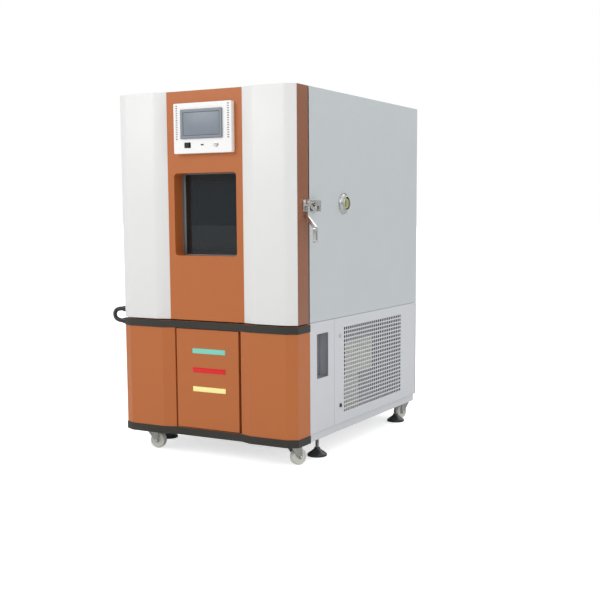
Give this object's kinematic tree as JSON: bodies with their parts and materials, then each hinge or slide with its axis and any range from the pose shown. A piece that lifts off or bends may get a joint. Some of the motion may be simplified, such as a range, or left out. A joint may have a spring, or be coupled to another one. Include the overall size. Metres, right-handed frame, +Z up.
{
  "type": "environmental test chamber",
  "caption": "Floor-standing climate test chamber: insulated windowed door with side latch, control panel, cable port, and a machine room with a vented service door on casters and feet.",
  "frame": {"origin": "on the floor under the middle of the cabinet's footprint, at the underside of the levelling feet", "axes": "+Z up; the door's front faces -Y; +X to the right when looking at the front"},
  "size_m": [0.928, 1.1565, 1.411],
  "materials": {
    "white_paint": "satin powder coat",
    "orange_paint": "satin paint",
    "grey_paint": "satin powder coat",
    "dark_trim": "matt",
    "steel": "brushed",
    "chrome": "polished",
    "foam": "matt foam",
    "seal_rubber": "matt",
    "glazing": "polished",
    "screen_plastic": "gloss",
    "panel_paint": "satin",
    "switch_plastic": "gloss",
    "silicone": "matt silicone",
    "cream_plastic": "matt",
    "tank_plastic": "matt",
    "black_paint": "satin paint",
    "fins": "mill finish",
    "wheel_plastic": "satin",
    "foot_rubber": "satin",
    "zinc": "zinc plated",
    "bar_film": "gloss",
    "conduit_plastic": "satin"
  },
  "bodies": {
    "cabinet": {"base_frame": "grey_paint", "upper_casing": "grey_paint", "rear_panels": "grey_paint", "left_lower_panel": "grey_paint", "right_front_panel": "grey_paint", "front_frame": "steel", "insulation": "foam", "inner_liner": "steel", "wire_shelves": "steel", "air_baffle": "steel", "fan_motor": "black_paint", "conditioning_coils": "fins", "port_flange": "steel", "trim_bands": "dark_trim", "lower_fascia": "orange_paint", "water_tank": "tank_plastic", "compressor": "black_paint", "condenser": "fins", "electrical_box": "cream_plastic", "latch_keeper": "chrome", "cabinet_hinges": "chrome", "fascia_gland": "switch_plastic", "wiring_conduit": "conduit_plastic"},
    "door": {"door_shell": "orange_paint", "front_panels": "white_paint", "door_centre_panel": "orange_paint", "door_insulation": "foam", "door_inner_panel": "steel", "door_gasket": "seal_rubber", "window_panes": "glazing", "window_frame": "steel", "control_housing": "panel_paint", "panel_fittings": "switch_plastic", "touch_screen": "screen_plastic", "latch_base": "chrome", "door_hinge_leaves": "chrome", "door_gland": "switch_plastic"},
    "latch_lever": {"latch_lever": "chrome"},
    "rocker_switch": {"rocker_switch": "switch_plastic"},
    "push_button": {"push_button": "chrome"},
    "lower_door": {"lower_door": "orange_paint", "colour_bars": "bar_film"},
    "service_door": {"service_door": "grey_paint"},
    "cam_lock_upper": {"cam_lock_upper": "chrome"},
    "cam_lock_lower": {"cam_lock_lower": "black_paint"},
    "port_plug": {"port_plug": "silicone"},
    "circulation_fan": {"circulation_fan": "steel"},
    "condenser_fan": {"condenser_fan": "black_paint"},
    "caster_fork_front_left": {"caster_fork_front_left": "zinc"},
    "caster_wheel_front_left": {"caster_wheel_front_left": "wheel_plastic"},
    "caster_fork_front_right": {"caster_fork_front_right": "zinc"},
    "caster_wheel_front_right": {"caster_wheel_front_right": "wheel_plastic"},
    "caster_fork_rear_left": {"caster_fork_rear_left": "zinc"},
    "caster_wheel_rear_left": {"caster_wheel_rear_left": "wheel_plastic"},
    "caster_fork_rear_right": {"caster_fork_rear_right": "zinc"},
    "caster_wheel_rear_right": {"caster_wheel_rear_right": "wheel_plastic"},
    "levelling_foot_front_left": {"levelling_foot_front_left": "foot_rubber"},
    "levelling_foot_front_right": {"levelling_foot_front_right": "foot_rubber"},
    "levelling_foot_rear_left": {"levelling_foot_rear_left": "foot_rubber"},
    "levelling_foot_rear_right": {"levelling_foot_rear_right": "foot_rubber"}
  },
  "joints": [
    {"name": "door_swing", "type": "hinge", "parent": "cabinet", "child": "door", "pos_m": [-0.412, -0.455, 0.974], "axis": [0, 0, -1], "range_deg": [0, 110], "deforming": ["wiring_conduit"]},
    {"name": "latch_turn", "type": "hinge", "parent": "door", "child": "latch_lever", "pos_m": [0.412, -0.481, 0.985], "axis": [1, 0, 0], "range_deg": [-75, 14]},
    {"name": "rocker_tip", "type": "hinge", "parent": "door", "child": "rocker_switch", "pos_m": [-0.061, -0.563, 1.206], "axis": [0, 0, 1], "range_deg": [0, 14]},
    {"name": "button_press", "type": "slide", "parent": "door", "child": "push_button", "axis": [0, 1, 0], "range_m": [0, 0.003], "stiffness_N_per_m": 400},
    {"name": "lower_door_swing", "type": "hinge", "parent": "cabinet", "child": "lower_door", "pos_m": [-0.139, -0.536, 0.307], "axis": [0, 0, -1], "range_deg": [0, 95]},
    {"name": "service_door_swing", "type": "hinge", "parent": "cabinet", "child": "service_door", "pos_m": [0.3925, 0.5515, 0.324], "axis": [0, 0, 1], "range_deg": [0, 100]},
    {"name": "cam_upper_turn", "type": "hinge", "parent": "service_door", "child": "cam_lock_upper", "pos_m": [0.392, -0.201, 0.465], "axis": [1, 0, 0], "range_deg": [0, 90]},
    {"name": "cam_lower_turn", "type": "hinge", "parent": "service_door", "child": "cam_lock_lower", "pos_m": [0.392, -0.201, 0.184], "axis": [1, 0, 0], "range_deg": [0, 90]},
    {"name": "plug_pull", "type": "slide", "parent": "cabinet", "child": "port_plug", "axis": [1, 0, 0], "range_m": [0, 0.14]},
    {"name": "circulation_fan_spin", "type": "hinge", "parent": "cabinet", "child": "circulation_fan", "pos_m": [0, 0.135, 1.089], "axis": [0, 1, 0], "continuous": true},
    {"name": "condenser_fan_spin", "type": "hinge", "parent": "cabinet", "child": "condenser_fan", "pos_m": [-0.3, 0.085, 0.3045], "axis": [1, 0, 0], "continuous": true},
    {"name": "caster_front_left_swivel", "type": "hinge", "parent": "cabinet", "child": "caster_fork_front_left", "pos_m": [-0.301, -0.502, 0.079], "axis": [0, 0, 1], "continuous": true},
    {"name": "caster_front_left_roll", "type": "hinge", "parent": "caster_fork_front_left", "child": "caster_wheel_front_left", "pos_m": [-0.2813, -0.49853, 0.0325], "axis": [-0.1736, 0.9848, 0], "continuous": true},
    {"name": "caster_front_right_swivel", "type": "hinge", "parent": "cabinet", "child": "caster_fork_front_right", "pos_m": [0.356, -0.502, 0.079], "axis": [0, 0, 1], "continuous": true},
    {"name": "caster_front_right_roll", "type": "hinge", "parent": "caster_fork_front_right", "child": "caster_wheel_front_right", "pos_m": [0.36413, -0.48373, 0.0325], "axis": [-0.9135, 0.4067, 0], "continuous": true},
    {"name": "caster_rear_left_swivel", "type": "hinge", "parent": "cabinet", "child": "caster_fork_rear_left", "pos_m": [-0.301, 0.525, 0.079], "axis": [0, 0, 1], "continuous": true},
    {"name": "caster_rear_left_roll", "type": "hinge", "parent": "caster_fork_rear_left", "child": "caster_wheel_rear_left", "pos_m": [-0.31979, 0.51816, 0.0325], "axis": [0.342, -0.9397, 0], "continuous": true},
    {"name": "caster_rear_right_swivel", "type": "hinge", "parent": "cabinet", "child": "caster_fork_rear_right", "pos_m": [0.356, 0.525, 0.079], "axis": [0, 0, 1], "continuous": true},
    {"name": "caster_rear_right_roll", "type": "hinge", "parent": "caster_fork_rear_right", "child": "caster_wheel_rear_right", "pos_m": [0.34916, 0.50621, 0.0325], "axis": [0.9397, -0.342, 0], "continuous": true},
    {"name": "foot_front_left_height", "type": "slide", "parent": "cabinet", "child": "levelling_foot_front_left", "axis": [0, 0, 1], "range_m": [0, 0.025]},
    {"name": "foot_front_right_height", "type": "slide", "parent": "cabinet", "child": "levelling_foot_front_right", "axis": [0, 0, 1], "range_m": [0, 0.025]},
    {"name": "foot_rear_left_height", "type": "slide", "parent": "cabinet", "child": "levelling_foot_rear_left", "axis": [0, 0, 1], "range_m": [0, 0.025]},
    {"name": "foot_rear_right_height", "type": "slide", "parent": "cabinet", "child": "levelling_foot_rear_right", "axis": [0, 0, 1], "range_m": [0, 0.025]}
  ]
}
